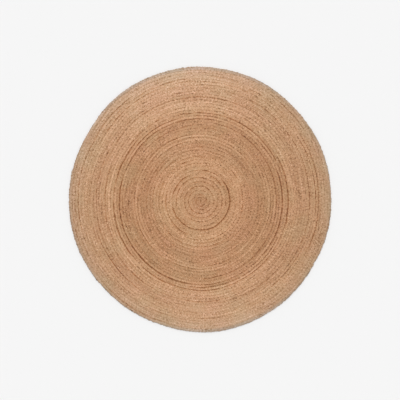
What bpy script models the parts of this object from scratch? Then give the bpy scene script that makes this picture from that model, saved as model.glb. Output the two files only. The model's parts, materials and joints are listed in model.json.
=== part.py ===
"""A round jute rug, lying flat on the floor.

It is one flat braid, coiled from the middle outwards, anticlockwise seen from above, and sewn edge to
edge. The turns stand up as ribs, with a sunk seam between each two. The braid's end narrows over the
last part of the last turn, so that the outline closes on itself.

Metres, +Z up. The origin is on the floor, under the middle of the outline.
"""

import math

import bmesh
import bpy
from mathutils import Vector
from mathutils.geometry import delaunay_2d_cdt

# Driving sizes
RUG_ACROSS = 1.50
TURNS = 41
BRAID_THICKNESS = 0.010
SEAM_HEIGHT = 0.0064  # above the floor, where two turns are sewn together
MIDDLE_GAIN = 0.061  # how much further out the looser first turns put the rest
MIDDLE_TURNS = 9.0  # how soon the turns come down to their usual width
START_TURNS = -0.5  # the braid's own start, curled round the middle ahead of the first seam
END_ANGLE = math.radians(-20)  # where the braid ends, from +X
TAIL_SHARE = 0.14  # of a turn, over which the end narrows

# The turns run a little off the outline's middle and are a little taller than wide, as the coil was sewn
# by hand.
COIL_SHIFT = Vector((-0.0045, -0.013))
SHIFT_KEPT_TO = 0.6  # of the rug's radius, and from there it fades towards the edge
COIL_STRETCH = 0.0058  # at most, two thirds of the way out, along Y and off the width along X

# How far the outline leaves a true coil: lobes round it, their height, and where one of them peaks.
OUTLINE_LOBES = (
    {"lobes": 2, "height": 0.0018, "peak_deg": -71},
    {"lobes": 3, "height": 0.0014, "peak_deg": -31},
    {"lobes": 4, "height": 0.0019, "peak_deg": 10},
    {"lobes": 5, "height": 0.0017, "peak_deg": -21},
    {"lobes": 7, "height": 0.0010, "peak_deg": 20},
    {"lobes": 10, "height": 0.0012, "peak_deg": -13},
)

# Across the braid, from its inner seam: the rows of points that shape one rib.
RIB_ROWS = (
    {"across": 0.0, "height": SEAM_HEIGHT},
    {"across": 0.28, "height": BRAID_THICKNESS},
    {"across": 0.72, "height": BRAID_THICKNESS},
)

# Down the rug's edge, from its top row to the floor: how far in from the outline, and how high.
EDGE_ROWS = (
    {"inset": 0.0024, "height": 0.0078},
    {"inset": 0.0, "height": 0.0056},
    {"inset": 0.0, "height": 0.0030},
    {"inset": 0.0020, "height": 0.0},
)
EDGE_STEPS = 90

CHORD_RISE = 0.0013  # how far a straight stretch of a row may leave its curve
TIGHTEST_RADIUS = 0.012  # the steps grow no shorter than they are at this radius
ROW_CLEARANCE = 0.0012  # between the last rows and the edge's top row

SMOOTH_BELOW = math.radians(60)  # edges sharper than this are shaded as edges

JUTE_COLOUR = (0.50, 0.283, 0.156, 1.0)
JUTE_ROUGHNESS = 0.85

RUG_RADIUS = RUG_ACROSS / 2


def middle_gain(turns):
    """How far out the looser first turns put the seam after that many turns."""
    return MIDDLE_GAIN * (1 - math.exp(-turns / MIDDLE_TURNS))


# The coil's edge grows by a turn's width on its way round, so half a width puts its mean at the radius.
BRAID_WIDTH = (RUG_RADIUS - middle_gain(TURNS)) / (TURNS + 0.5)


def seam_radius(turns):
    """Radius of the coil's inner seam after that many turns; the braid starts at the middle itself."""
    turns = max(turns, 0.0)
    return BRAID_WIDTH * turns + middle_gain(turns)


def outer_radius(turns):
    """Radius of the braid's outer side: the next seam, or past the last one the rug's edge."""
    tail_starts = TURNS - TAIL_SHARE
    if turns <= tail_starts:
        return seam_radius(turns + 1)
    narrowed = 0.5 - 0.5 * math.cos(math.pi * (turns - tail_starts) / TAIL_SHARE)
    widest = seam_radius(tail_starts + 1)
    return widest + (seam_radius(TURNS) - widest) * narrowed


def outline_lobes(angle):
    """How far the outline stands proud of a true coil in that direction."""
    return sum(
        row["height"] * math.cos(row["lobes"] * (angle - math.radians(row["peak_deg"])))
        for row in OUTLINE_LOBES
    )


def placed(radius, turns):
    """The point at that radius and that many turns round, moved as the hand-sewn coil is."""
    angle = END_ANGLE + 2 * math.pi * turns
    share = radius / RUG_RADIUS
    fade = min(max((share - SHIFT_KEPT_TO) / (1 - SHIFT_KEPT_TO), 0.0), 1.0)
    kept = 1 - fade * fade * (3 - 2 * fade)
    stretch = -COIL_STRETCH * math.cos(2 * angle) * 4 * share**2 * (1 - share**2)
    reach = radius + outline_lobes(angle) * share**2 + stretch
    return Vector((math.cos(angle), math.sin(angle))) * reach + COIL_SHIFT * kept


def row_of_points(across):
    """One row of points along the braid, at that share of its width, from the middle to the tail."""
    points = []
    turns = 0.0 if across == 0 else START_TURNS
    while turns < TURNS:
        inner = seam_radius(turns)
        width = outer_radius(turns) - inner
        room = (1 - across) * width
        if turns > TURNS - 1 and room < EDGE_ROWS[0]["inset"] + ROW_CLEARANCE:
            break
        radius = inner + across * width
        points.append(placed(radius, turns))
        bend = max(radius, TIGHTEST_RADIUS)
        turns += math.sqrt(8 * CHORD_RISE / bend) / (2 * math.pi)
    return points


def edge_ring(inset):
    """One closed ring of points round the rug, that far in from its outline."""
    turns = [TURNS - 1 + step / EDGE_STEPS for step in range(EDGE_STEPS)]
    return [placed(outer_radius(turn) - inset, turn) for turn in turns]


def middle_of(points):
    """The middle of the box round these points."""
    xs = [point.x for point in points]
    ys = [point.y for point in points]
    return Vector(((min(xs) + max(xs)) / 2, (min(ys) + max(ys)) / 2))


def ribbed_top():
    """The triangles of the rug's upper face, its flat points, and each point's height.

    The first EDGE_STEPS points are the edge's top row.
    """
    top_row = EDGE_ROWS[0]
    flat = edge_ring(top_row["inset"])
    heights = [top_row["height"]] * EDGE_STEPS
    lines = [(step, (step + 1) % EDGE_STEPS) for step in range(EDGE_STEPS)]
    for row in RIB_ROWS:
        points = row_of_points(row["across"])
        first = len(flat)
        flat += points
        heights += [row["height"]] * len(points)
        lines += [(first + i, first + i + 1) for i in range(len(points) - 1)]
    outline = list(range(EDGE_STEPS))
    inside_the_outline = 1
    merge_closer_than = 1e-6
    made = delaunay_2d_cdt(flat, lines, [outline], inside_the_outline, merge_closer_than)
    corners, _, triangles, sources = made[:4]
    if len(corners) != len(flat) or any(source != [i] for i, source in enumerate(sources)):
        raise ValueError("two rows of the coil cross or touch")
    return triangles, flat, heights


def coil_mesh():
    """The whole rug as one closed mesh: ribs on top, a rolled edge, and a flat underside."""
    triangles, flat, heights = ribbed_top()
    middle = middle_of(edge_ring(0.0))
    mesh = bmesh.new()

    def corner(point, height):
        return mesh.verts.new((point.x - middle.x, point.y - middle.y, height))

    top = [corner(point, height) for point, height in zip(flat, heights)]
    for triangle in triangles:
        mesh.faces.new([top[i] for i in triangle])
    upper = top[:EDGE_STEPS]
    for row in EDGE_ROWS[1:]:
        lower = [corner(point, row["height"]) for point in edge_ring(row["inset"])]
        for step in range(EDGE_STEPS):
            after = (step + 1) % EDGE_STEPS
            mesh.faces.new((upper[step], lower[step], lower[after], upper[after]))
        upper = lower
    mesh.faces.new(reversed(upper))
    bmesh.ops.recalc_face_normals(mesh, faces=mesh.faces)
    made = bpy.data.meshes.new("braid_coil")
    mesh.to_mesh(made)
    mesh.free()
    return made


def jute_material():
    """Undyed jute: a warm tan, quite rough."""
    material = bpy.data.materials.new("jute")
    material.use_nodes = True
    shader = material.node_tree.nodes["Principled BSDF"]
    shader.inputs["Base Color"].default_value = JUTE_COLOUR
    shader.inputs["Roughness"].default_value = JUTE_ROUGHNESS
    shader.inputs["Metallic"].default_value = 0.0
    return material


def main():
    for old in list(bpy.data.objects):
        bpy.data.objects.remove(old)
    coil = bpy.data.objects.new("braid_coil", coil_mesh())
    coil.data.materials.append(jute_material())
    coil.data.shade_smooth()
    coil.data.set_sharp_from_angle(angle=SMOOTH_BELOW)
    bpy.context.scene.collection.objects.link(coil)


main()
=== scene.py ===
# %% [markdown]
# # A round jute rug
#
# The rug is one long flat plait of jute, three strands wide, coiled from the middle outwards and sewn edge
# to edge. Seen from above it is a grain of small leaning strands, and here and there a seam that opened a
# little shows as a dark arc.
#
# A learner could paint that grain on a disc. It would look right from straight above and nowhere else, so
# here the strands are made as real tubes that cross over and under each other, all the way round the coil.
#
# Lengths are in metres and +Z is up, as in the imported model, which is loaded first as a fixed frame.

# %% The frame
import json
import math

import bpy
import numpy as np
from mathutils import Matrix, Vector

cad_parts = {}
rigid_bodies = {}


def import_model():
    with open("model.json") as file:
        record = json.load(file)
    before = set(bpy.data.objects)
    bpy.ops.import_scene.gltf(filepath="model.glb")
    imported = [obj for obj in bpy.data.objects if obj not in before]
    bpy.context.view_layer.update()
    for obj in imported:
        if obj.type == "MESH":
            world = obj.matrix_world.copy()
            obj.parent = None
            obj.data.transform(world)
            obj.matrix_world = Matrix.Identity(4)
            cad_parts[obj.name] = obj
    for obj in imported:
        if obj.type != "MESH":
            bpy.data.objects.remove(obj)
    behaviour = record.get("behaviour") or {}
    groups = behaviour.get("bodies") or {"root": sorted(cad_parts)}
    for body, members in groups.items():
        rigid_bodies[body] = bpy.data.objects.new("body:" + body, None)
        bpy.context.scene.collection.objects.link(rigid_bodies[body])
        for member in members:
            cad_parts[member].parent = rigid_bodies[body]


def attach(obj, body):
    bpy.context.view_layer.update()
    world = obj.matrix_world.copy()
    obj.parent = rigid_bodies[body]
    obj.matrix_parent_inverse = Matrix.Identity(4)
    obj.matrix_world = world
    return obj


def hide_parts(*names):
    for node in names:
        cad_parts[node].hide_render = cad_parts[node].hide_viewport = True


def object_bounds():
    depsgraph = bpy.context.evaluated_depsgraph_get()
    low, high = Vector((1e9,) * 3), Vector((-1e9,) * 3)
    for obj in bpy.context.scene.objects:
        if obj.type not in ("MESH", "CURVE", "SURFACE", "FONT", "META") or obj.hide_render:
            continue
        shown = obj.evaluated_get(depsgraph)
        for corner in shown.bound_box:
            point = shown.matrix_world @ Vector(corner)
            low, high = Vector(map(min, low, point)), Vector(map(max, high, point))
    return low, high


for old in list(bpy.data.objects):
    bpy.data.objects.remove(old)
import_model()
CAD_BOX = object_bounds()
print("The CAD box, in mm:", [[round(1000 * x, 1) for x in corner] for corner in CAD_BOX])


# %% [markdown]
# ## Colours
#
# A colour picker shows sRGB, while the renderer works with linear light. One function turns the one into
# the other, so that each colour below can be read as the usual six hex digits.

# %% Hex to linear
def linear(hex_colour):
    """The linear RGBA of an sRGB colour such as "bc916e"."""
    channels = [int(hex_colour[i : i + 2], 16) / 255 for i in (0, 2, 4)]
    return [c / 12.92 if c <= 0.04045 else ((c + 0.055) / 1.055) ** 2.4 for c in channels] + [1.0]


print("The rug's mean tan in linear light:", [round(c, 3) for c in linear("bc916e")])


# %% [markdown]
# ## The coil
#
# The plait's route is worked out, not drawn. After each turn the seam is one plait's width further out, and
# the first turns are wider. The coil also isn't a perfect circle: it was sewn by hand, so its outline has
# low lobes and its turns run a little off the middle.
#
# A place on the rug is given by a radius and by how many turns the plait has made to get there. These are
# the sizes that the solid rug was built from, so the plait lies where the solid does. Only its first turns
# differ: the photograph shows them wider still, with their seams up to 13 mm nearer the middle.

# %% The coil's sizes
RUG_ACROSS = 1.50
RUG_RADIUS = RUG_ACROSS / 2
TURNS = 41
MIDDLE_GAIN = 0.061  # how much further out the wider first turns put the rest
MIDDLE_TURNS = 9.0  # how soon the turns come down to their usual width
FIRST_SEAMS_NEARER = 0.013  # to the middle, against the solid's
NEARER_TO, NEARER_ENDS = 3.0, 8.0  # turns: from the one on it gets less, and past the other it is nothing
END_ANGLE = math.radians(-20)  # where the plait ends, from +X
TAIL_SHARE = 0.14  # of a turn, over which the end narrows
COIL_SHIFT = (-0.0045, -0.013)  # of the turns against the outline
SHIFT_KEPT_TO = 0.6  # of the rug's radius: from there the shift fades out to the edge
COIL_STRETCH = 0.0058  # along Y, and as much less along X; most at seven tenths of the radius
OUTLINE_LOBES = (
    {"lobes": 2, "height": 0.0018, "peak_deg": -71},
    {"lobes": 3, "height": 0.0014, "peak_deg": -31},
    {"lobes": 4, "height": 0.0019, "peak_deg": 10},
    {"lobes": 5, "height": 0.0017, "peak_deg": -21},
    {"lobes": 7, "height": 0.0010, "peak_deg": 20},
    {"lobes": 10, "height": 0.0012, "peak_deg": -13},
)


def middle_gain(turns):
    """How much of MIDDLE_GAIN a seam has got after that many turns."""
    return MIDDLE_GAIN * (1 - np.exp(-turns / MIDDLE_TURNS))


PLAIT_WIDTH = (RUG_RADIUS - middle_gain(TURNS)) / (TURNS + 0.5)
print(f"Away from the middle the plait is {1000 * PLAIT_WIDTH:.1f} mm wide")


# %% Seams, and a point's place on the coil
def seam_radius(turns):
    """Radius of the plait's inner seam after that many turns."""
    turns = np.maximum(turns, 0.0)
    share = np.clip((NEARER_ENDS - turns) / (NEARER_ENDS - NEARER_TO), 0, 1)
    nearer = FIRST_SEAMS_NEARER * share * share * (3 - 2 * share)
    return np.maximum(PLAIT_WIDTH * turns + middle_gain(turns) - nearer, 0.0)


def outer_radius(turns):
    """Radius of the plait's outer side: the next seam, or past the last one the rug's edge."""
    tail_starts = TURNS - TAIL_SHARE
    into_tail = np.clip((turns - tail_starts) / TAIL_SHARE, 0, 1)
    narrowed = 0.5 - 0.5 * np.cos(math.pi * into_tail)
    widest = seam_radius(tail_starts + 1)
    in_tail = widest + (seam_radius(TURNS) - widest) * narrowed
    return np.where(turns <= tail_starts, seam_radius(turns + 1), in_tail)


def placed(radius, turns):
    """X and Y of the points at those radii and that many turns round."""
    angle = END_ANGLE + 2 * math.pi * turns
    share = radius / RUG_RADIUS
    fade = np.clip((share - SHIFT_KEPT_TO) / (1 - SHIFT_KEPT_TO), 0, 1)
    kept = 1 - fade * fade * (3 - 2 * fade)
    lobes = sum(
        row["height"] * np.cos(row["lobes"] * (angle - math.radians(row["peak_deg"])))
        for row in OUTLINE_LOBES
    )
    stretch = -COIL_STRETCH * np.cos(2 * angle) * 4 * share**2 * (1 - share**2)
    reach = radius + lobes * share**2 + stretch
    x = reach * np.cos(angle) + COIL_SHIFT[0] * kept
    y = reach * np.sin(angle) + COIL_SHIFT[1] * kept
    return np.stack([x, y], axis=-1)


# %% The origin, under the middle of the outline
OUTLINE_STEPS = 90
outline_turns = TURNS - 1 + np.arange(OUTLINE_STEPS) / OUTLINE_STEPS
outline = placed(outer_radius(outline_turns), outline_turns)
MIDDLE = (outline.min(axis=0) + outline.max(axis=0)) / 2


def on_rug(radius, turns):
    """As placed(), measured from the rug's origin."""
    return placed(radius, turns) - MIDDLE


print("The outline, in mm:", np.round(1000 * (outline.max(axis=0) - outline.min(axis=0)), 1))

# %% [markdown]
# ## The camera
#
# The photograph was taken from straight above with a long lens, so that the rug shows as flat as a plate.
# One pixel of it is 5.7 mm of rug. A 100 mm lens on a 36 mm sensor, 6.3 m up, gives the same frame.

# %% Camera
MM_PER_PX = 5.696
FRAME_PX = 400
RUG_MIDDLE_PX = (200.0, 199.5)  # in the photograph, from its top left corner
LENS_MM = 100.0
SENSOR_MM = 36.0
RUG_TOP = CAD_BOX[1].z

camera_data = bpy.data.cameras.new("camera")
camera_data.lens = LENS_MM
camera_data.sensor_width = SENSOR_MM
camera = bpy.data.objects.new("camera", camera_data)
bpy.context.scene.collection.objects.link(camera)
metres_per_px = MM_PER_PX / 1000
camera.location = (
    (FRAME_PX / 2 - RUG_MIDDLE_PX[0]) * metres_per_px,
    (RUG_MIDDLE_PX[1] - FRAME_PX / 2) * metres_per_px,
    FRAME_PX * metres_per_px * LENS_MM / SENSOR_MM + RUG_TOP,
)
bpy.context.scene.camera = camera
print("The camera stands", round(camera.location.z, 2), "m up")


# %% [markdown]
# ## Nodes
#
# A material is a small network of nodes. One function adds a node, gives it its settings by name, and fills
# its inputs with numbers, colours or other nodes. With it a material reads like a recipe, from its
# ingredients down to the shader.

# %% One function that adds a node
def node(tree, kind, inputs=(), **settings):
    """Adds a node. Each input, by place or by name, is a value, an output or a node's first output."""
    made = tree.nodes.new(kind)
    for name, value in settings.items():
        setattr(made, name, value)
    named = inputs if isinstance(inputs, dict) else dict(enumerate(inputs))
    for name, value in named.items():
        if isinstance(value, bpy.types.Node):
            value = next(output for output in value.outputs if output.enabled)
        if isinstance(value, bpy.types.NodeSocket):
            tree.links.new(value, made.inputs[name])
        else:
            made.inputs[name].default_value = value
    return made


def new_material(name):
    """A material with its node tree, and its shader."""
    material = bpy.data.materials.new(name)
    material.use_nodes = True
    return material, material.node_tree, material.node_tree.nodes["Principled BSDF"]


def fill_ramp(ramp, stops):
    """Gives a colour ramp its stops, each a place from 0 to 1 and a hex colour."""
    elements = ramp.color_ramp.elements
    elements.remove(elements[-1])
    for i, (place, colour) in enumerate(stops):
        element = elements[0] if i == 0 else elements.new(place)
        element.position = place
        element.color = linear(colour)


# %% [markdown]
# ## Floor and light
#
# The photograph has a bare, pale ground and hardly a shadow, and the rug's rim is equally dull all round.
# The ground is made here as a board with matt paint, which has no gloss. The light hangs nearly overhead,
# a little towards the top of the picture, and the pale room fills the rest. A light of 70 degrees across
# casts no hard edge, and it lights every part of the floor alike.

# %% Floor
FLOOR_RADIUS = 40.0
FLOOR_CORNERS = 48
FLOOR_COLOUR = "eeeeee"
MATT_PAINT_ROUGHNESS = 0.9

material, tree, shader = new_material("painted_board")
shader.inputs["Base Color"].default_value = linear(FLOOR_COLOUR)
shader.inputs["Roughness"].default_value = MATT_PAINT_ROUGHNESS
shader.inputs["Specular IOR Level"].default_value = 0.0
floor_mesh = bpy.data.meshes.new("floor")
floor_corners = [
    (FLOOR_RADIUS * math.cos(a), FLOOR_RADIUS * math.sin(a), 0.0)
    for a in np.linspace(0, 2 * math.pi, FLOOR_CORNERS, endpoint=False)
]
floor_mesh.from_pydata(floor_corners, [], [range(len(floor_corners))])
floor_mesh.materials.append(material)
floor = bpy.data.objects.new("floor", floor_mesh)
bpy.context.scene.collection.objects.link(floor)

# %% Light
LIGHT_ELEVATION = math.radians(74)
LIGHT_WIDTH = math.radians(70)
LIGHT_STRENGTH = 2.20
ROOM_LOW, ROOM_HIGH = 0.92, 0.30  # how bright the room is at floor level and overhead

light_data = bpy.data.lights.new("top_light", "SUN")
light_data.energy = LIGHT_STRENGTH
light_data.angle = LIGHT_WIDTH
light = bpy.data.objects.new("top_light", light_data)
light.rotation_euler.x = LIGHT_ELEVATION - math.pi / 2
bpy.context.scene.collection.objects.link(light)

world = bpy.data.worlds.new("room")
world.use_nodes = True
bpy.context.scene.world = world
tree = world.node_tree
tree.nodes.clear()
direction = node(tree, "ShaderNodeTexCoord")
height = node(tree, "ShaderNodeSeparateXYZ", [direction.outputs["Generated"]])
brightness = node(
    tree,
    "ShaderNodeMapRange",
    {"Value": height.outputs["Z"], "To Min": ROOM_LOW, "To Max": ROOM_HIGH},
)
room = node(tree, "ShaderNodeBackground", {"Strength": brightness})
node(tree, "ShaderNodeOutputWorld", {"Surface": room})
bpy.context.scene.view_settings.view_transform = "Standard"
print("The light comes from the picture's top,", round(math.degrees(LIGHT_ELEVATION)), "degrees up")


# %% [markdown]
# ## Unevenness
#
# Nothing made by hand repeats exactly. The thickness of a strand, the pull of each stitch and the place of
# each seam drift slowly along the plait. A row of random values with a smooth curve through them gives such
# a drift, and the same seed gives the same rug each time.

# %% Slow drift
DRIFT_SPREAD = 0.55  # of the random values


def drift(lengths, step, seed):
    """Smooth random values, mostly from -1 to 1, that change over about one step of length."""
    knots = np.random.default_rng(seed).normal(0.0, DRIFT_SPREAD, int(lengths.max() / step) + 4)
    place = (lengths - lengths.min()) / step
    knot = np.minimum(place.astype(int), len(knots) - 2)
    share = place - knot
    share = share * share * (3 - 2 * share)
    return knots[knot] * (1 - share) + knots[knot + 1] * share


test = drift(np.linspace(0, 100, 5001), 0.1, 1)
print("Drift over 100 m: from", round(test.min(), 2), "to", round(test.max(), 2))


# %% [markdown]
# ## Seams that opened
#
# Most seams are pulled shut, so that the plaits' ears sit in each other and hardly a line shows. Near the
# middle most of them are a little open, and further out some stretches are, and there the dark inside of
# the rug shows. The long ones are listed by how many turns the plait has made where they start and end.
# Short ones come and go by themselves, in runs, where a few stitches in a row are slack.

# %% Open seams
OPEN_SEAMS = (
    {"from": 1.20, "to": 2.35, "loose": 0.13},
    {"from": 2.75, "to": 3.10, "loose": 0.24},
    {"from": 3.10, "to": 4.10, "loose": 0.21},
    {"from": 4.10, "to": 5.10, "loose": 0.27},
    {"from": 4.18, "to": 4.26, "loose": 0.42},
    {"from": 4.85, "to": 4.94, "loose": 0.36},
    {"from": 5.10, "to": 5.42, "loose": 0.19},
    {"from": 5.69, "to": 5.84, "loose": 0.24},
    {"from": 6.11, "to": 6.60, "loose": 0.24},
    {"from": 7.02, "to": 7.08, "loose": 0.77},
    {"from": 7.15, "to": 7.25, "loose": 0.42},
    {"from": 7.36, "to": 7.53, "loose": 0.58},
    {"from": 7.58, "to": 7.82, "loose": 0.64},
    {"from": 7.79, "to": 8.00, "loose": 0.85},
    {"from": 7.97, "to": 8.10, "loose": 1.05},
    {"from": 8.07, "to": 8.18, "loose": 0.85},
    {"from": 8.20, "to": 8.36, "loose": 0.38},
    {"from": 9.50, "to": 9.75, "loose": 0.34},
    {"from": 18.81, "to": 18.91, "loose": 0.38},
    {"from": 19.28, "to": 19.50, "loose": 0.36},
    {"from": 19.59, "to": 19.69, "loose": 0.42},
    {"from": 22.80, "to": 23.28, "loose": 0.38},
    {"from": 24.25, "to": 24.50, "loose": 0.51},
    {"from": 24.50, "to": 24.80, "loose": 0.76},
    {"from": 24.80, "to": 24.99, "loose": 0.38},
    {"from": 24.97, "to": 25.13, "loose": 0.68},
    {"from": 25.13, "to": 25.33, "loose": 0.38},
    {"from": 25.34, "to": 25.46, "loose": 0.60},
    {"from": 25.78, "to": 26.00, "loose": 0.47},
    {"from": 26.10, "to": 26.36, "loose": 0.50},
    {"from": 26.42, "to": 26.55, "loose": 0.51},
    {"from": 26.55, "to": 26.68, "loose": 0.80},
    {"from": 26.68, "to": 27.00, "loose": 0.64},
    {"from": 27.00, "to": 27.15, "loose": 0.80},
    {"from": 30.76, "to": 30.86, "loose": 0.40},
    {"from": 31.20, "to": 31.50, "loose": 0.26},
    {"from": 32.57, "to": 32.66, "loose": 0.36},
    {"from": 34.00, "to": 34.24, "loose": 0.28},
    {"from": 34.90, "to": 35.00, "loose": 0.30},
    {"from": 36.98, "to": 37.05, "loose": 0.74},
    {"from": 37.03, "to": 37.16, "loose": 0.45},
    {"from": 38.40, "to": 38.63, "loose": 0.28},
)
OPENS_OVER = 0.02  # of a turn, from shut to open
OPEN_GAP = 0.0006  # between the ears of two turns, where a seam is quite open
SHUT_OVERLAP = 0.22  # of the width: how far the ears of two turns reach into each other in a shut seam
SLACK_RUN = 0.45  # metres over which runs of slack stitches come and go
SLACK_STITCH = 0.024  # and metres from one of them to the next
STITCH_IN_RUN = 0.8  # how much one stitch counts, against 1 for the run that it is in
SLACK_FROM = 0.75  # the drift from which a stitch is slack
SLACKEST = 0.60  # and how loose such a stitch gets
STITCH_SHARE = 0.45  # how unevenly the long open seams are open
LOOSEST = 1.2
RUN_SEED, STITCH_SEED = 13, 14


def within(turns, row):
    """1 between the two ends of a listed stretch and 0 outside it, with a short slope between."""
    rise = np.clip((turns - row["from"]) / OPENS_OVER, 0, 1)
    fall = np.clip((row["to"] - turns) / OPENS_OVER, 0, 1)
    return np.minimum(rise, fall)


def seam_looseness(turns, lengths):
    """How loose the seam at those turns is: 0 where it is shut, and 1 where it is quite open."""
    stitch = drift(lengths, SLACK_STITCH, STITCH_SEED)
    slack = drift(lengths, SLACK_RUN, RUN_SEED) + STITCH_IN_RUN * stitch - SLACK_FROM
    loose = np.minimum(slack, SLACKEST)
    for row in OPEN_SEAMS:
        loose = np.maximum(loose, (row["loose"] + STITCH_SHARE * stitch) * within(turns, row))
    return np.clip(loose, 0, LOOSEST)


def seam_gap(turns, looseness):
    """How wide a seam is, or less than nothing where its ears overlap."""
    turns = np.maximum(turns, 0.5)
    overlap = SHUT_OVERLAP * (seam_radius(turns + 0.5) - seam_radius(turns - 0.5))
    return looseness * (OPEN_GAP + overlap) - overlap


# %% [markdown]
# Where the plait was pressed flat and rubbed, and where light catches its crown, a thin pale line runs
# along it for a while: partly wear and partly painted highlight. Here and there a thin dark one runs along
# it too. The longest pale ones are listed too, with their place across the plait, from -1 at its inner side
# to 1 at its outer. The rest drift along it at random.

# %% Pale and dark lines along the plait
WORN_AND_HIGHLIGHT_LINES = (
    {"from": 17.11, "to": 17.44, "across": 0.15},
    {"from": 17.55, "to": 17.78, "across": 0.30},
    {"from": 17.88, "to": 18.00, "across": 0.25},
    {"from": 18.20, "to": 18.84, "across": 0.22},
    {"from": 19.08, "to": 19.20, "across": 0.25},
    {"from": 19.78, "to": 20.08, "across": 0.15},
    {"from": 22.00, "to": 22.11, "across": 0.00},
    {"from": 22.44, "to": 22.55, "across": 0.60},
    {"from": 23.48, "to": 24.50, "across": 0.08},
    {"from": 24.64, "to": 24.83, "across": 0.25},
    {"from": 24.87, "to": 25.08, "across": 0.30},
    {"from": 25.14, "to": 25.25, "across": 0.15},
    {"from": 25.53, "to": 25.63, "across": 0.15},
    {"from": 25.75, "to": 26.00, "across": 0.05},
    {"from": 26.56, "to": 26.77, "across": 0.40},
    {"from": 27.50, "to": 27.69, "across": 0.05},
    {"from": 28.06, "to": 28.22, "across": -0.10},
)
LONG_LINE = 1.35  # how pale the listed lines are, against 1 for the palest of the others
DRIFTING_LINES = (
    {"strength": 1.0, "seed": 71},
    {"strength": -1.0, "seed": 73},
)
LINE_WIDTH = 0.35  # of half the plait's width: so far from its middle a line has faded to a third
LINE_RUN = 0.22  # metres over which a drifting line comes and goes
LINE_FROM = 0.35  # the drift from which it shows
LINE_STRAY = 1.5  # how far across the plait it strays, where 1 is the plait's side
LINE_STRAY_STEP = 1.2  # metres over which it does so


def lines_along(turns, lengths, across):
    """How pale the plait's lines are at points across it: above 0 pale, and below 0 dark."""
    total = np.zeros_like(across)
    for row in WORN_AND_HIGHLIGHT_LINES:
        away = (across - row["across"]) / LINE_WIDTH
        total += LONG_LINE * within(turns, row)[:, None] * np.exp(-away * away)
    for row in DRIFTING_LINES:
        shown = np.clip(drift(lengths, LINE_RUN, row["seed"]) - LINE_FROM, 0, 1)
        middle = LINE_STRAY * drift(lengths, LINE_STRAY_STEP, row["seed"] + 1)
        away = (across - middle[:, None]) / LINE_WIDTH
        total += row["strength"] * shown[:, None] * np.exp(-away * away)
    return total


# %% [markdown]
# ## The plait's route
#
# The route runs between two seams. It is stepped finely first, to measure its length, and each strand then
# takes its points from that.

# %% Route
START_TURNS = -0.12  # the plait's own start, curled round the middle
END_TURNS = TURNS - 0.035  # just short of the coil's end, where the plait has no width left
ROUTE_STEPS_A_TURN = 720
SEAM_DRIFT = 0.0018  # how far a seam strays to either side
SEAM_DRIFT_STEP = 0.25  # metres of plait over which it does so
SEAM_DRIFT_GROWS = 0.5  # turns over which it grows to that, from the middle and from the edge
PITCH = 0.042  # along the plait, from one ear of a strand to its next on the same side
PITCH_DRIFT = 0.18  # of the pitch
PITCH_DRIFT_STEP = 0.10  # metres of plait
NARROWEST = 0.004  # the pitch gets no shorter than it is at this width
SEAM_SEED, PITCH_SEED = 11, 12

route_turns = np.linspace(
    START_TURNS, END_TURNS, int((END_TURNS - START_TURNS) * ROUTE_STEPS_A_TURN)
)
route_centre = on_rug((seam_radius(route_turns) + outer_radius(route_turns)) / 2, route_turns)
route_steps = np.linalg.norm(np.diff(route_centre, axis=0), axis=1)
route_length = np.concatenate([[0.0], np.cumsum(route_steps)])
PLAIT_LENGTH = route_length[-1]


def strayed_seam(turns, radius):
    """A seam's radius with its drift; the rug's edge and its middle stay where they are."""
    length = np.interp(turns, route_turns, route_length)
    room_outside = np.clip((TURNS - turns) / SEAM_DRIFT_GROWS, 0, 1)
    room = room_outside * np.clip(turns / SEAM_DRIFT_GROWS, 0, 1)
    return radius + SEAM_DRIFT * room * drift(length, SEAM_DRIFT_STEP, SEAM_SEED)


# %% The plait's two sides, and its pitch
next_length = np.interp(route_turns + 1, route_turns, route_length)
loose_inside = seam_looseness(route_turns, route_length)
loose_outside = seam_looseness(route_turns + 1, next_length)
route_inner = strayed_seam(route_turns, seam_radius(route_turns))
route_inner = route_inner + seam_gap(route_turns, loose_inside) / 2
route_outer = strayed_seam(route_turns + 1, outer_radius(route_turns))
route_outer = route_outer - seam_gap(route_turns + 1, loose_outside) / 2
route_width = route_outer - route_inner
pitch = PITCH * np.sqrt(np.maximum(route_width, NARROWEST) / PLAIT_WIDTH)
pitch = pitch * (1 + PITCH_DRIFT * drift(route_length, PITCH_DRIFT_STEP, PITCH_SEED))
phase_steps = 2 * math.pi * route_steps / pitch[1:]
route_phase = np.concatenate([[0.0], np.cumsum(phase_steps)])
print(f"The plait is {PLAIT_LENGTH:.1f} m long, or {route_phase[-1] / (2 * math.pi):.0f} pitches")


# %% [markdown]
# ## Strands
#
# In a flat plait of three, each strand swings from side to side, and goes up and down twice in that time:
# over the next strand on its way out to either edge, and under on its way back. The two swings are a sine
# and one of twice the speed, and the three strands are a third of a pitch apart.
#
# A strand is a soft bundle, so its section is a flat oval. Six sides are enough for it here: there are
# 300 m of strand, and the whole rug may have a million triangles.

# %% Strand sizes
STRANDS = 3
POINTS_A_PITCH = 8
SIDES = 6
SWING = 0.285  # of the plait's width, to either side
HALF_STRAND = 0.262  # of the plait's width: half of a strand's own width
HALF_STRAND_DEEP = 0.0035
LIFT = 0.0014  # how far a strand's middle goes over and under; the strands squash where they cross
EAR_LIFT = math.radians(18)  # how much later than its swing a strand rises, which lifts the ears
MID_HEIGHT = 0.0050  # of the plait's middle, over the floor
WIDTH_DRIFT = 0.25  # of a strand's width
DEPTH_DRIFT = 0.14  # of its depth
STRAND_DRIFT_STEP = 0.045  # metres over which both do so
LIFT_DRIFT = 0.70  # of its lift
ASIDE_DRIFT = 0.0014
CROSSING_DRIFT_STEP = 0.022  # metres: about half a pitch, from one ear of a strand to its next, opposite
ROW_DRIFT = 0.0006  # how far whole stretches of the plait lie higher or lower
ROW_DRIFT_STEP = 0.20
WIDTH_SEED, DEPTH_SEED, ROW_SEED, LIFT_SEED, ASIDE_SEED = 21, 31, 41, 51, 61
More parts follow.
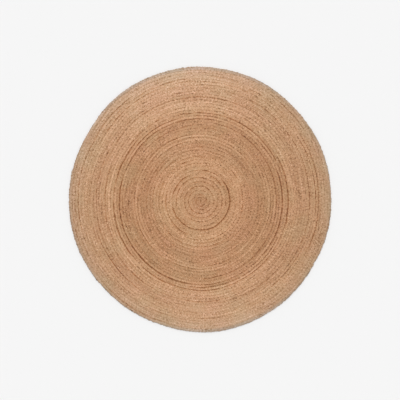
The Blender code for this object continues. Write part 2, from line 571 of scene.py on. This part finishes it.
RESTS_AT, HIGHEST = 0.0001, 0.0108  # the heights between which all strands are kept
THINNEST = 0.45  # of its usual depth, where the plait has no width left
UNDERSIDE = math.radians(-120)  # the oval's first corner, so that the texture's seam is underneath


# %% One strand's tube
def strand_tube(strand):
    """The rings of points of one strand along the whole plait, and where on the plait each ring is."""
    first = 2 * math.pi * strand / STRANDS
    rings = int((route_phase[-1] - first) / (2 * math.pi) * POINTS_A_PITCH)
    phase = np.arange(rings) * 2 * math.pi / POINTS_A_PITCH
    turns = np.interp(phase + first, route_phase, route_turns)
    length = np.interp(turns, route_turns, route_length)
    inner = np.interp(turns, route_turns, route_inner)
    width = np.interp(turns, route_turns, route_width)
    deep = THINNEST + (1 - THINNEST) * np.clip(width / PLAIT_WIDTH, 0, 1)

    half = HALF_STRAND * width * (1 + WIDTH_DRIFT * drift(length, STRAND_DRIFT_STEP, WIDTH_SEED + strand))
    half_deep = HALF_STRAND_DEEP * deep
    half_deep = half_deep * (1 + DEPTH_DRIFT * drift(length, STRAND_DRIFT_STEP, DEPTH_SEED + strand))
    row = ROW_DRIFT * drift(length, ROW_DRIFT_STEP, ROW_SEED)
    lift = LIFT * deep * (1 + LIFT_DRIFT * drift(length, CROSSING_DRIFT_STEP, LIFT_SEED + strand))
    aside_drift = ASIDE_DRIFT * drift(length, CROSSING_DRIFT_STEP, ASIDE_SEED + strand)
    aside = SWING * width * np.sin(phase) + aside_drift
    height = MID_HEIGHT + row + lift * np.sin(2 * phase - EAR_LIFT)
    centre = np.column_stack([on_rug(inner + width / 2 + aside, turns), height])

    along = np.gradient(centre, axis=0)
    along /= np.linalg.norm(along, axis=1)[:, None]
    across = np.cross(along, (0.0, 0.0, 1.0))
    across /= np.linalg.norm(across, axis=1)[:, None]
    upward = np.cross(across, along)
    corner = UNDERSIDE + np.arange(SIDES) * 2 * math.pi / SIDES
    wide = half[:, None] * np.cos(corner)
    high = half_deep[:, None] * np.sin(corner) / math.cos(math.pi / SIDES)
    points = centre[:, None, :] + across[:, None, :] * wide[:, :, None]
    points = points + upward[:, None, :] * high[:, :, None]
    points[:, :, 2] = np.clip(points[:, :, 2], RESTS_AT, HIGHEST)
    place = 2 * (aside[:, None] + wide) / np.maximum(width, NARROWEST)[:, None]
    loose = np.where(
        np.sin(phase) > 0,
        np.interp(turns, route_turns, loose_outside),
        np.interp(turns, route_turns, loose_inside),
    )
    return {
        "points": points,
        "length": length,
        "turns": np.repeat(turns[:, None], SIDES, axis=1),
        "across": place,
        "loose": np.repeat(loose[:, None], SIDES, axis=1),
        "line": lines_along(turns, length, place),
        "strand": np.full((rings, SIDES), float(strand)),
    }


tubes = [strand_tube(strand) for strand in range(STRANDS)]
print("Rings a strand:", [len(tube["points"]) for tube in tubes])

# %% [markdown]
# ## From arrays to meshes
#
# Blender is slow at hundreds of thousands of separate bmesh calls, and quick at taking whole arrays. So the
# tubes stay arrays until the end, when each piece of the plait takes its share of the rings. The plait is
# cut into five pieces of equal length, because a mesh of under 200,000 triangles is easier to carry about.
#
# Each face of the plait also gets a place in two UV maps. "Yarn" is the strand unrolled, with metres of
# plait along it and 0 to 1 round it, and the fibres are drawn in it. "OFBake" lays all faces out side by
# side without overlap, for baking.

# %% Quads and caps
BAKE_MARGIN = 0.04  # of a face's cell, kept free on each side


def quads_of(rings, sides, first_point):
    """The four corners of each face of a tube."""
    ring = np.arange(rings - 1)[:, None]
    side = np.arange(sides)[None, :]
    after = (side + 1) % sides
    corners = [ring * sides + side, (ring + 1) * sides + side]
    corners += [(ring + 1) * sides + after, ring * sides + after]
    return first_point + np.stack(np.broadcast_arrays(*corners), axis=-1).reshape(-1, 4)


def mesh_of(name, points, quads, caps):
    """A mesh of quads and of one flat cap at each end of each tube."""
    mesh = bpy.data.meshes.new(name)
    loops = np.concatenate([quads.ravel(), caps.ravel()])
    sizes = np.concatenate([np.full(len(quads), 4), np.full(len(caps), caps.shape[1])])
    mesh.vertices.add(len(points))
    mesh.vertices.foreach_set("co", points.ravel())
    mesh.loops.add(len(loops))
    mesh.loops.foreach_set("vertex_index", loops)
    mesh.polygons.add(len(sizes))
    mesh.polygons.foreach_set("loop_start", np.concatenate([[0], np.cumsum(sizes)[:-1]]))
    sharp = np.zeros(len(sizes), dtype=bool)
    sharp[len(quads) :] = True
    mesh.attributes.new("sharp_face", "BOOLEAN", "FACE").data.foreach_set("value", sharp)
    mesh.update(calc_edges=True)
    return mesh


def add_object(mesh):
    """An object with that mesh, in the scene."""
    made = bpy.data.objects.new(mesh.name, mesh)
    bpy.context.scene.collection.objects.link(made)
    return made


# %% UV maps and values on the points
def add_uv(mesh, name, uv):
    """A UV map, given as one pair for each corner of each face."""
    layer = mesh.uv_layers.new(name=name)
    layer.data.foreach_set("uv", uv.astype(np.float32).ravel())


def add_point_values(mesh, name, values):
    """One number for each point, which a material can read by its name."""
    attribute = mesh.attributes.new(name, "FLOAT", "POINT")
    attribute.data.foreach_set("value", values.astype(np.float32))


def cell_uv(faces, corners):
    """Each face's own square cell in one sheet: u and v of its corners."""
    columns = math.ceil(math.sqrt(faces))
    rows = math.ceil(faces / columns)
    index = np.arange(faces)
    low = np.stack([index % columns, index // columns], axis=-1)[:, None, :]
    inside = BAKE_MARGIN + (1 - 2 * BAKE_MARGIN) * corners
    return (low + inside) / (columns, rows)


# %% Pieces of the plait
PIECES = 5
POINT_VALUES = ("turns", "across", "loose", "line", "strand")
QUAD_CORNERS = np.array([[0, 0], [1, 0], [1, 1], [0, 1]], dtype=float)
CAP_ANGLES = np.arange(SIDES) * 2 * math.pi / SIDES
CAP_CORNERS = 0.5 + 0.5 * np.column_stack([np.cos(CAP_ANGLES), np.sin(CAP_ANGLES)])


def plait_piece(number):
    """The fifth of the plait with that number, counted from the middle."""
    from_length = PLAIT_LENGTH * number / PIECES
    to_length = PLAIT_LENGTH * (number + 1) / PIECES
    points, quads, caps, yarn = [], [], [], []
    values = {name: [] for name in POINT_VALUES}
    count = 0
    for tube in tubes:
        length = tube["length"]
        first = np.searchsorted(length, from_length)
        last = min(np.searchsorted(length, to_length), len(length) - 1)
        kept = slice(first, last + 1)
        rings = last + 1 - first
        points.append(tube["points"][kept].reshape(-1, 3))
        quads.append(quads_of(rings, SIDES, count))
        ring_caps = np.stack([np.arange(SIDES), (rings - 1) * SIDES + np.arange(SIDES)[::-1]])
        caps.append(count + ring_caps)
        start, end = length[first:last], length[first + 1 : last + 1]
        u = np.stack([start, end, end, start], axis=-1)[:, None, :]
        v = np.arange(SIDES)[None, :, None] / SIDES + QUAD_CORNERS[:, 1] / SIDES
        yarn.append(np.stack(np.broadcast_arrays(u, v), axis=-1).reshape(-1, 2))
        for name, parts in values.items():
            parts.append(tube[name][kept].ravel())
        count += rings * SIDES
    points, quads, caps = np.concatenate(points), np.concatenate(quads), np.concatenate(caps)
    mesh = mesh_of(f"plait_{number + 1}", points, quads, caps)
    faces = len(quads) + len(caps)
    quad_uv = cell_uv(faces, QUAD_CORNERS)[: len(quads)].reshape(-1, 2)
    cap_uv = cell_uv(faces, CAP_CORNERS)[len(quads) :].reshape(-1, 2)
    add_uv(mesh, "OFBake", np.concatenate([quad_uv, cap_uv]))
    add_uv(mesh, "Yarn", np.concatenate([*yarn, np.zeros((caps.size, 2))]))
    for name, parts in values.items():
        add_point_values(mesh, name, np.concatenate(parts))
    triangles = 2 * len(quads) + (SIDES - 2) * len(caps)
    print(f"{mesh.name}: {triangles} triangles, from turn {values['turns'][0][0]:.1f}")
    return add_object(mesh)


plaits = [plait_piece(number) for number in range(PIECES)]

# %% [markdown]
# ## What shows between the strands
#
# Between the strands one looks into the rug: onto the inner sides of the plait and the thread that holds
# the turns together, at half its height. It lies in shade, so a thin sheet of the same jute stands for it,
# its browns darker with dust and with painted shade. It has the rug's own outline, a little inside the
# outermost ears.

# %% The inner layer
INNER_TOP, INNER_BOTTOM = 0.0054, 0.0032  # heights
INNER_INSET = 0.0055  # from the outline
INNER_STEPS = 360
INNER_RINGS = 12


def inner_layer():
    """A thin closed sheet at half the rug's height."""
    turns = TURNS - 1 + np.arange(INNER_STEPS) / INNER_STEPS
    rim = outer_radius(turns) - INNER_INSET
    shares = np.arange(1, INNER_RINGS + 1) / INNER_RINGS
    rings = np.stack([on_rug(rim * share, turns) for share in shares])
    points = []
    for height in (INNER_TOP, INNER_BOTTOM):
        level = np.full(rings.shape[:2] + (1,), height)
        points.append(np.concatenate([rings, level], axis=-1).reshape(-1, 3))
    half = INNER_RINGS * INNER_STEPS
    top = quads_of(INNER_RINGS, INNER_STEPS, 0)
    bottom = quads_of(INNER_RINGS, INNER_STEPS, half)[:, ::-1]
    step = np.arange(INNER_STEPS)
    after = (step + 1) % INNER_STEPS
    upper = (INNER_RINGS - 1) * INNER_STEPS
    side = np.stack([upper + step, half + upper + step, half + upper + after, upper + after], axis=-1)
    caps = np.stack([step, half + step[::-1]])
    return mesh_of("coil_inside", np.concatenate(points), np.concatenate([top, bottom, side]), caps)


inside = add_object(inner_layer())
print("Inner layer:", len(inside.data.polygons), "faces")

# %% [markdown]
# ## Jute
#
# Jute is the bast of a tall plant, retted, stripped and spun while still long and coarse. Undyed it is a
# warm tan with a dull silk lustre. The hanks differ: some are greyer, some pinker, and specks of dark bark
# are left in. Cellulose fibres have an IOR near 1.53, are no metal, and scatter light broadly, so the
# roughness is high.
#
# The rug's tone also changes from the middle outwards, as one hank after the other was plaited in: a tan
# middle, a browner ring at three fifths of the way out, and paler turns outside.

# %% Jute colours
TONES_BY_TURN = (
    {"turns": 0.0, "colour": "b08057"},
    {"turns": 4.0, "colour": "bb8c63"},
    {"turns": 8.0, "colour": "bb8d63"},
    {"turns": 10.0, "colour": "c3946a"},
    {"turns": 15.0, "colour": "b07d54"},
    {"turns": 18.5, "colour": "b28258"},
    {"turns": 24.3, "colour": "ac7d53"},
    {"turns": 27.2, "colour": "bf936b"},
    {"turns": 32.0, "colour": "b88c66"},
    {"turns": 36.0, "colour": "bc936d"},
    {"turns": 40.0, "colour": "b49272"},
    {"turns": 41.0, "colour": "ae9378"},
)
GREYER, BETWEEN, PINKER = "c0a37c", "c5976f", "ce9a78"
HUES = ((0.38, GREYER), (0.5, BETWEEN), (0.62, PINKER))  # each at its place on the noise
HUE_SHARE = 0.22  # of the colour
BARK = "7c5636"

# %% How the tone drifts along the plait
HANK_LENGTH = 0.25  # metres over which the fibres change; the same noise says where the plait is calmer
HANK_SHARE = 0.25  # of the hue: the rest goes by patches of the rug
HANK_SEED = 5.0
PATCH_ACROSS = 0.160  # metres: patches of one hue, across several turns

# Each drift has its length along the plait, in metres. How far the strands and the two sides of the plait
# lie apart in its noise says how much they differ. With 0 they are alike.
TONE_DRIFTS = (
    {"length": 0.010, "strands_apart": 1.0, "sides_apart": 0.0, "strength": 2.05, "seed": 0.0},
    {"length": 0.035, "strands_apart": 0.5, "sides_apart": 0.03, "strength": 0.30, "seed": 3.0},
    {"length": 0.180, "strands_apart": 0.0, "sides_apart": 0.25, "strength": 0.86, "seed": 7.0},
)
CALMER, ROUGHER = 0.78, 1.14  # some stretches of the plait have less of this and of the dirt and painted seam shade, some more
CALMEST_AT, ROUGHEST_AT = 0.4, 0.6  # of the hank noise
CALM_MIDDLE = 0.60  # and the very middle of the rug has less as well
CALM_TO = 0.35  # of the rug's radius
CALM_OUTSIDE = 0.85  # and so has its edge
CALM_FROM = 0.80
TONE_POWERS = (0.77, 1.0, 1.45)  # dark jute is a richer brown and pale jute a whiter one
LINE_TONE = 0.21  # how much lighter a line of strength 1 is
DARKEST = 0.15  # neither tone nor the dust and painted shade goes below this

# %% Dust and painted shade in the seams, and painted shade on the rim
SEAM_NEAR = 2.0  # the power of a point's place across the plait that keeps to its two sides
SEAM_DUST_AND_SHADE_LENGTH = 0.060  # metres of seam from one dark stretch to the next
SEAM_DUST_AND_SHADE_OCTAVES = 3.0
SEAM_DUST_AND_SHADE_ROUGHNESS = 0.95  # the dust and painted shade lie in dots, each about an ear long, as well as in stretches
SEAM_DUST_AND_SHADE = 0.45  # how much darker the seam's dust and painted shade make it, at most
PLAIN_SEAM_AT, DARKEST_SEAM_AT = 0.50, 0.66  # of the noise: from a plain stretch of seam to the darkest
OPEN_SEAM_DUST_AND_SHADE = 0.55  # and as much more dust and painted shade where the seam is quite open
CLEAN_AND_LIT_FROM, DUSTY_AND_SHADED_BELOW = 0.0085, 0.0040  # heights: what lies deeper is darker, with dust that is never rubbed off and with painted shade
DEEP_DUST_AND_SHADE = 0.70  # how light it is down there, against 1
DIRTY_EAR_LENGTH = 0.013  # metres from one ear's noise to the next
DIRTY_EARS_CLUSTER = 0.3  # how much the hank noise counts, against 1 for the noise from ear to ear
DIRTY_FROM, DIRTY_FULL = 0.79, 0.88  # of both noises together: where an ear starts to look dirty
EAR_DIRT = 0.65  # how much darker the dirtiest ear is
DUST_AND_SHADE_POWERS = (0.45, 1.0, 1.75)  # the dust and painted shade take mostly the blue, so that a seam is brown, not grey
RIM_FROM, RIM_FULL = 0.980, 0.998  # of the rug's radius
RIM_PAINTED_SHADE = 0.84  # painted shade: how light the rim is at the edge, against 1
RIM_SHADE_POWERS = (1.0, 0.6, 0.1)  # the rim's painted shade is greyer as well: it loses red, and hardly any blue

# %% [markdown]
# In the photograph the turns are paler at the rug's top and bottom than at its sides, and more so further
# out. There the fibres lie across the light and shine along their whole length. A shader's gloss gives a
# little of that. The rest is a painted sheen: a paler tone, by how squarely the plait lies across the
# light.

# %% Painted sheen, paler towards the top and bottom
PAINTED_SHEEN_DIRECTION = math.radians(98)  # from +X: nearly towards the light
PAINTED_SHEEN = 0.24  # painted sheen at the edge, both that way and the other
SQUARE_ON = 4.0  # the power that keeps it to where the plait lies across the light
PAINTED_LIGHT_SIDE = math.radians(116)  # and painted light makes the side nearer the light paler as a whole
PAINTED_SIDE_LIGHT = 0.093  # at its edge

# %% [markdown]
# A strand is a bundle of fibres with a twist. The "Yarn" map has it unrolled, and noise drawn straight on
# that would show a seam along the strand. So the map is rolled up again: the place round the strand becomes
# a cosine and a sine, and noise in space through those has no seam.

# %% The fibres' sizes
FIBRE_TONE = 1.0  # how strongly their noise shows in the tone
FIBRE_LENGTH = 0.012  # metres of plait, from one tuft of fibres to the next
ROLL_RADIUS = 4.5  # in the noise's cells: 28 go round a strand, tufts 0.9 mm wide, with finer noise in them
FIBRE_OCTAVES = 5.0  # how often that is halved, down to single fibres
FINER_SHARE = 0.7  # how strong each halving is, against the one before
TWIST_PITCH = 0.035  # metres of plait for one turn of a strand's twist
FIBRE_DEPTH = 0.0006
FIBRE_RELIEF = 0.9  # of that depth
STRAND_SEED = 31.7  # sets the three strands' fibres apart
SPECK_SCALE = 0.55  # of the fibres' noise, so a speck is nearly twice as long and wide as a tuft
SPECK_FROM, SPECK_FULL = 0.70, 0.78  # of the noise: where a speck of bark starts, and where it is solid
JUTE_ROUGHNESS = 0.55
JUTE_IOR = 1.53
JUTE_ANISOTROPY = 0.8
ACROSS_THE_FIBRES = 0.25  # of a turn: a row of fibres spreads its highlight across them


# %% Jute strand material
def jute_strand():
    """Spun jute, plaited: a tan that drifts along the strand, with specks and a twist of fibres."""
    material, tree, shader = new_material("jute_strand")
    yarn = node(tree, "ShaderNodeUVMap", uv_map="Yarn")
    yarn_xy = node(tree, "ShaderNodeSeparateXYZ", [yarn])
    along, around = yarn_xy.outputs["X"], yarn_xy.outputs["Y"]
    turns, across, loose, line, strand = (
        node(tree, "ShaderNodeAttribute", attribute_name=name).outputs["Fac"]
        for name in POINT_VALUES
    )

    turn_share = node(tree, "ShaderNodeMapRange", {"Value": turns, "From Max": TURNS})
    tone = node(tree, "ShaderNodeValToRGB", [turn_share])
    fill_ramp(tone, [(row["turns"] / TURNS, row["colour"]) for row in TONES_BY_TURN])
    where = node(tree, "ShaderNodeTexCoord")
    patches = node(
        tree,
        "ShaderNodeTexNoise",
        {"Vector": where.outputs["Object"], "Scale": 1 / PATCH_ACROSS, "Detail": 1.0},
    )
    hank = node(tree, "ShaderNodeCombineXYZ", [along, 0.0, HANK_SEED])
    hank_noise = node(
        tree, "ShaderNodeTexNoise", {"Vector": hank, "Scale": 1 / HANK_LENGTH, "Detail": 0.0}
    )
    patchy = node(tree, "ShaderNodeMix", {"Factor": HANK_SHARE, "A": patches, "B": hank_noise})
    hue = node(tree, "ShaderNodeValToRGB", [patchy])
    fill_ramp(hue, HUES)
    toned = node(
        tree,
        "ShaderNodeMix",
        {"Factor": HUE_SHARE, "A": tone, "B": hue},
        data_type="RGBA",
    )

    turned = node(tree, "ShaderNodeMath", [along, 1 / TWIST_PITCH, around], operation="MULTIPLY_ADD")
    angle = node(tree, "ShaderNodeMath", [turned, 2 * math.pi], operation="MULTIPLY")
    cosine = node(tree, "ShaderNodeMath", [angle], operation="COSINE")
    sine = node(tree, "ShaderNodeMath", [angle], operation="SINE")
    lengthwise = node(tree, "ShaderNodeMath", [along, 1 / FIBRE_LENGTH], operation="MULTIPLY")
    own_length = node(tree, "ShaderNodeMath", [strand, STRAND_SEED, lengthwise], operation="MULTIPLY_ADD")
    cylinder = node(tree, "ShaderNodeCombineXYZ", [own_length, cosine, sine])
    rolled = (1.0, ROLL_RADIUS, ROLL_RADIUS)
    stretched = node(tree, "ShaderNodeVectorMath", [cylinder, rolled], operation="MULTIPLY")
    fibres = node(
        tree,
        "ShaderNodeTexNoise",
        {"Vector": stretched, "Scale": 1.0, "Detail": FIBRE_OCTAVES, "Roughness": FINER_SHARE},
    )

    factor = node(
        tree, "ShaderNodeMath", [fibres, FIBRE_TONE, 1.0 - FIBRE_TONE / 2], operation="MULTIPLY_ADD"
    )
    for row in TONE_DRIFTS:
        side = node(tree, "ShaderNodeMath", [across, row["sides_apart"]], operation="MULTIPLY")
        apart = node(tree, "ShaderNodeMath", [strand, row["strands_apart"], side], operation="MULTIPLY_ADD")
        place = node(tree, "ShaderNodeCombineXYZ", [along, apart, row["seed"]])
        noise = node(
            tree, "ShaderNodeTexNoise", {"Vector": place, "Scale": 1 / row["length"], "Detail": 1.0}
        )
        centred = node(tree, "ShaderNodeMath", [noise, 0.5], operation="SUBTRACT")
        factor = node(tree, "ShaderNodeMath", [centred, row["strength"], factor], operation="MULTIPLY_ADD")

    radius = node(tree, "ShaderNodeVectorMath", [where.outputs["Object"]], operation="LENGTH")
    far_out = node(tree, "ShaderNodeMath", [radius, 1 / RUG_RADIUS], operation="MULTIPLY")
    uneven = node(
        tree,
        "ShaderNodeMapRange",
        {
            "Value": hank_noise,
            "From Min": CALMEST_AT,
            "From Max": ROUGHEST_AT,
            "To Min": CALMER,
            "To Max": ROUGHER,
        },
    )
    middle = node(
        tree,
        "ShaderNodeMapRange",
        {"Value": far_out, "From Max": CALM_TO, "To Min": CALM_MIDDLE, "To Max": 1.0},
    )
    outside = node(
        tree,
        "ShaderNodeMapRange",
        {"Value": far_out, "From Min": CALM_FROM, "To Min": 1.0, "To Max": CALM_OUTSIDE},
    )
    uneven = node(tree, "ShaderNodeMath", [uneven, middle], operation="MULTIPLY")
    uneven = node(tree, "ShaderNodeMath", [uneven, outside], operation="MULTIPLY")
    factor = node(tree, "ShaderNodeMath", [factor, 1.0], operation="SUBTRACT")
    factor = node(tree, "ShaderNodeMath", [factor, uneven, 1.0], operation="MULTIPLY_ADD")

    # The lines along the plait: the pale ones are partly wear and partly painted highlight.
    factor = node(tree, "ShaderNodeMath", [line, LINE_TONE, factor], operation="MULTIPLY_ADD")
    # Dust and painted shade along the plait's two sides, where the seams are, and more where a seam is
    # open.
    side_place = node(tree, "ShaderNodeMath", [across, SEAM_DUST_AND_SHADE_LENGTH], operation="MULTIPLY")
    seam_place = node(tree, "ShaderNodeCombineXYZ", [along, side_place, STRAND_SEED])
    seam_noise = node(
        tree,
        "ShaderNodeTexNoise",
        {
            "Vector": seam_place,
            "Scale": 1 / SEAM_DUST_AND_SHADE_LENGTH,
            "Detail": SEAM_DUST_AND_SHADE_OCTAVES,
            "Roughness": SEAM_DUST_AND_SHADE_ROUGHNESS,
        },
    )
    seam_dust_and_shade = node(
        tree,
        "ShaderNodeMapRange",
        {"Value": seam_noise, "From Min": PLAIN_SEAM_AT, "From Max": DARKEST_SEAM_AT, "To Max": -SEAM_DUST_AND_SHADE},
    )
    seam_dust_and_shade = node(tree, "ShaderNodeMath", [seam_dust_and_shade, uneven], operation="MULTIPLY")
    seam_dust_and_shade = node(tree, "ShaderNodeMath", [loose, -OPEN_SEAM_DUST_AND_SHADE, seam_dust_and_shade], operation="MULTIPLY_ADD")
    at_the_side = node(tree, "ShaderNodeMath", [across, SEAM_NEAR], operation="POWER")
    clean = node(tree, "ShaderNodeMath", [seam_dust_and_shade, at_the_side, 1.0], operation="MULTIPLY_ADD")
    clean = node(tree, "ShaderNodeMath", [clean, DARKEST], operation="MAXIMUM")
    ear_place = node(tree, "ShaderNodeCombineXYZ", [along, strand, STRAND_SEED])
    ear_noise = node(
        tree, "ShaderNodeTexNoise", {"Vector": ear_place, "Scale": 1 / DIRTY_EAR_LENGTH, "Detail": 0.0}
    )
    clustered = node(
        tree, "ShaderNodeMath", [hank_noise, DIRTY_EARS_CLUSTER, ear_noise], operation="MULTIPLY_ADD"
    )
    dirty_ear = node(
        tree,
        "ShaderNodeMapRange",
        {"Value": clustered, "From Min": DIRTY_FROM, "From Max": DIRTY_FULL, "To Max": -EAR_DIRT},
    )
    dirty_ear = node(tree, "ShaderNodeMath", [dirty_ear, uneven], operation="MULTIPLY")
    factor = node(tree, "ShaderNodeMath", [dirty_ear, at_the_side, factor], operation="MULTIPLY_ADD")
    # Dust and painted shade: the deeper a point lies, the darker it is.
    where_xyz = node(tree, "ShaderNodeSeparateXYZ", [where.outputs["Object"]])
    depth_dust_and_shade = node(
        tree,
        "ShaderNodeMapRange",
        {
            "Value": where_xyz.outputs["Z"],
            "From Min": DUSTY_AND_SHADED_BELOW,
            "From Max": CLEAN_AND_LIT_FROM,
            "To Min": DEEP_DUST_AND_SHADE,
            "To Max": 1.0,
        },
    )
    clean = node(tree, "ShaderNodeMath", [clean, depth_dust_and_shade], operation="MULTIPLY")

    # Painted sheen where the plait lies across the light, and painted light on the side nearer it.
    outwards = node(tree, "ShaderNodeVectorMath", [where.outputs["Object"]], operation="NORMALIZE")
    facing, towards = (
        node(
            tree,
            "ShaderNodeVectorMath",
            [outwards, (math.cos(direction), math.sin(direction), 0.0)],
            operation="DOT_PRODUCT",
        )
        for direction in (PAINTED_SHEEN_DIRECTION, PAINTED_LIGHT_SIDE)
    )
    towards = node(tree, "ShaderNodeMath", [towards, PAINTED_SIDE_LIGHT], operation="MULTIPLY")
    squarely = node(tree, "ShaderNodeMath", [facing, SQUARE_ON], operation="POWER")
    paler = node(tree, "ShaderNodeMath", [squarely, PAINTED_SHEEN, towards], operation="MULTIPLY_ADD")
    paler = node(tree, "ShaderNodeMath", [paler, far_out, 1.0], operation="MULTIPLY_ADD")
    factor = node(tree, "ShaderNodeMath", [factor, DARKEST], operation="MAXIMUM")
    factor = node(tree, "ShaderNodeMath", [factor, paler], operation="MULTIPLY")
    # Painted shade on the rim: darker and greyer towards the edge.
    rim = node(
        tree,
        "ShaderNodeMapRange",
        {"Value": far_out, "From Min": RIM_FROM, "From Max": RIM_FULL, "To Min": 1.0, "To Max": RIM_PAINTED_SHADE},
    )
    shaded = toned
    for amount, powers in ((factor, TONE_POWERS), (clean, DUST_AND_SHADE_POWERS), (rim, RIM_SHADE_POWERS)):
        channels = [node(tree, "ShaderNodeMath", [amount, power], operation="POWER") for power in powers]
        darkening = node(tree, "ShaderNodeCombineXYZ", channels)
        shaded = node(tree, "ShaderNodeVectorMath", [shaded, darkening], operation="MULTIPLY")

    speck_place = {"Vector": stretched, "Scale": SPECK_SCALE, "Detail": 1.0}
    speck_noise = node(tree, "ShaderNodeTexNoise", speck_place)
    speck = node(
        tree, "ShaderNodeMapRange", {"Value": speck_noise, "From Min": SPECK_FROM, "From Max": SPECK_FULL}
    )
    coloured = node(
        tree,
        "ShaderNodeMix",
        {"Factor": speck, "A": shaded, "B": linear(BARK)},
        data_type="RGBA",
    )
    tree.links.new(coloured.outputs["Result"], shader.inputs["Base Color"])

    bump = node(
        tree,
        "ShaderNodeBump",
        {"Height": fibres.outputs["Fac"], "Strength": FIBRE_RELIEF, "Distance": FIBRE_DEPTH},
    )
    tree.links.new(bump.outputs["Normal"], shader.inputs["Normal"])
    lengthwise_tangent = node(tree, "ShaderNodeTangent", direction_type="UV_MAP", uv_map="Yarn")
    tree.links.new(lengthwise_tangent.outputs["Tangent"], shader.inputs["Tangent"])
    shader.inputs["Anisotropic"].default_value = JUTE_ANISOTROPY
    shader.inputs["Anisotropic Rotation"].default_value = ACROSS_THE_FIBRES
    shader.inputs["Roughness"].default_value = JUTE_ROUGHNESS
    shader.inputs["IOR"].default_value = JUTE_IOR
    return material


# %% Jute in the shade
# The browns are darker with dust and with painted shade.
DARKER_SHADED_BROWN, LIGHTER_SHADED_BROWN = "80532c", "a67346"
BROWNS = ((0.35, DARKER_SHADED_BROWN), (0.65, LIGHTER_SHADED_BROWN))  # each at its place on the noise
DUST_SCALE = 180.0  # clumps of dust to a metre, so each is 5.6 mm across
DUST_OCTAVES = 3.0
DUST_DEPTH = 0.0008
INNER_ROUGHNESS = 0.85  # dust takes the lustre off


def jute_inside():
    """The same jute inside the rug: never rubbed, so dustier and browner, and darker with painted shade."""
    material, tree, shader = new_material("jute_inside")
    place = node(tree, "ShaderNodeTexCoord")
    dust = node(
        tree,
        "ShaderNodeTexNoise",
        {"Vector": place.outputs["Object"], "Scale": DUST_SCALE, "Detail": DUST_OCTAVES},
    )
    colour = node(tree, "ShaderNodeValToRGB", [dust])
    fill_ramp(colour, BROWNS)
    tree.links.new(colour.outputs["Color"], shader.inputs["Base Color"])
    bump = node(tree, "ShaderNodeBump", {"Height": dust, "Distance": DUST_DEPTH})
    tree.links.new(bump.outputs["Normal"], shader.inputs["Normal"])
    shader.inputs["Roughness"].default_value = INNER_ROUGHNESS
    shader.inputs["IOR"].default_value = JUTE_IOR
    return material


# %% Materials onto pieces
strand_material = jute_strand()
for plait in plaits:
    plait.data.materials.append(strand_material)
inside.data.materials.append(jute_inside())
print("Nodes in the jute strand:", len(strand_material.node_tree.nodes))

# %% [markdown]
# ## What the pieces are
#
# The plait takes the place of the plain solid, which is hidden. It rides on the rug's one body, with the
# inner layer. A coiled rug is made flat and is never cut.

for piece in [inside, *plaits]:
    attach(piece, "root")
    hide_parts("braid_coil")
